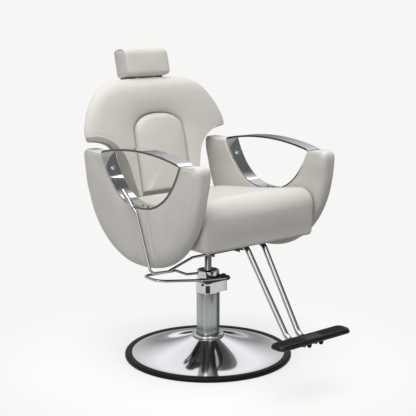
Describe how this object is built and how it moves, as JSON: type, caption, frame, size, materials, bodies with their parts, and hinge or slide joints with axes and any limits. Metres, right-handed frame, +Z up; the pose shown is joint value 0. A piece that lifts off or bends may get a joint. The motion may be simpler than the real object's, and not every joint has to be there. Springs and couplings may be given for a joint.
{
  "type": "hairdressing chair",
  "caption": "Reclining hydraulic hairdressing chair: winged padded back with arched panel, sliding headrest, arms with chrome strap loops, pump pedal, round swivel base and footrest.",
  "frame": {"origin": "middle of the round base on the floor, on the swivel axis", "axes": "+Z up; the chair faces -Y, so +X is the sitter's left"},
  "size_m": [0.6516, 0.9588, 1.077],
  "materials": {
    "leather": "light warm grey leatherette, fine grain, satin",
    "chrome": "mirror chrome",
    "brushed": "fine ground steel",
    "black_steel": "black painted steel",
    "rubber": "matt black rubber",
    "plywood": "plywood",
    "bronze": "sintered bronze"
  },
  "bodies": {
    "base": {"base_plate": "black_steel", "base_dome": "chrome", "base_rim": "rubber", "pump_collar": "chrome", "pump_foot": "black_steel", "pump_tube": "brushed", "pump_head": "chrome", "rod_guide_bush": "bronze", "rod_seal": "rubber"},
    "pedal": {"pump_pedal": "chrome", "pedal_shaft": "black_steel"},
    "piston": {"piston_rod": "brushed"},
    "seat": {"swivel_hub": "black_steel", "swivel_plate": "black_steel", "frame_rail_right": "black_steel", "frame_rail_left": "black_steel", "frame_cross_rail": "black_steel", "seat_board": "plywood", "seat_cushion": "leather", "arm_pad_right": "leather", "arm_pad_left": "leather", "arm_loop_right": "chrome", "arm_loop_left": "chrome", "arm_bolt_rear_right": "chrome", "arm_bolt_front_right": "chrome", "arm_bolt_rear_left": "chrome", "arm_bolt_front_left": "chrome", "arm_bracket_right": "black_steel", "arm_bracket_left": "black_steel", "footrest_tube_right": "chrome", "footrest_tube_left": "chrome", "footrest_cap_right": "rubber", "footrest_cap_left": "rubber", "footrest_socket_right": "black_steel", "footrest_socket_left": "black_steel", "footrest_pad": "rubber", "hinge_clevis_right": "black_steel", "hinge_clevis_left": "black_steel", "release_block": "brushed", "lever_bracket": "black_steel", "gas_spring_rod": "chrome"},
    "back": {"back_cushion": "leather", "lumbar_panel": "leather", "back_cover": "leather", "back_upright_right": "black_steel", "back_upright_left": "black_steel", "hinge_shaft": "brushed", "recline_crank": "black_steel", "headrest_ferrule_right": "black_steel", "headrest_ferrule_left": "black_steel"},
    "headrest": {"headrest_cushion": "leather", "headrest_post_right": "chrome", "headrest_post_left": "chrome"},
    "lever": {"recline_lever": "chrome", "lever_grip": "chrome", "release_finger": "black_steel"},
    "release": {"release_pin": "brushed"},
    "gas_cylinder": {"gas_spring_cylinder": "black_steel"}
  },
  "joints": [
    {"name": "pedal_press", "type": "hinge", "parent": "base", "child": "pedal", "pos_m": [0.047, 0, 0.286], "axis": [0, -1, 0], "range_deg": [0, 20], "stiffness_Nm_per_rad": 6, "springref_deg": -22.92},
    {"name": "seat_height", "type": "slide", "parent": "base", "child": "piston", "axis": [0, 0, 1], "range_m": [-0.03, 0.12]},
    {"name": "seat_swivel", "type": "hinge", "parent": "piston", "child": "seat", "pos_m": [0, 0, 0.376], "axis": [0, 0, 1], "continuous": true},
    {"name": "back_recline", "type": "hinge", "parent": "seat", "child": "back", "pos_m": [0, 0.2863, 0.5001], "axis": [-1, 0, 0], "range_deg": [0, 45]},
    {"name": "headrest_slide", "type": "slide", "parent": "back", "child": "headrest", "axis": [0, 0.2334, 0.9724], "range_m": [0, 0.08]},
    {"name": "lever_lift", "type": "hinge", "parent": "seat", "child": "lever", "pos_m": [0, -0.1125, 0.404], "axis": [1, 0, 0], "range_deg": [0, 15], "stiffness_Nm_per_rad": 4, "springref_deg": -11.46},
    {"name": "release_push", "type": "slide", "parent": "seat", "child": "release", "axis": [0, 0, 1], "range_m": [0, 0.0065]},
    {"name": "spring_slide", "type": "slide", "parent": "seat", "child": "gas_cylinder", "axis": [0, -1, 0], "range_m": [0, 0.0425]}
  ],
  "couplings": [
    {"joint": "release_push", "follows": "lever_lift", "m_per_rad": 0.0235},
    {"joint": "spring_slide", "follows": "back_recline", "m_per_rad": 0.0536}
  ]
}
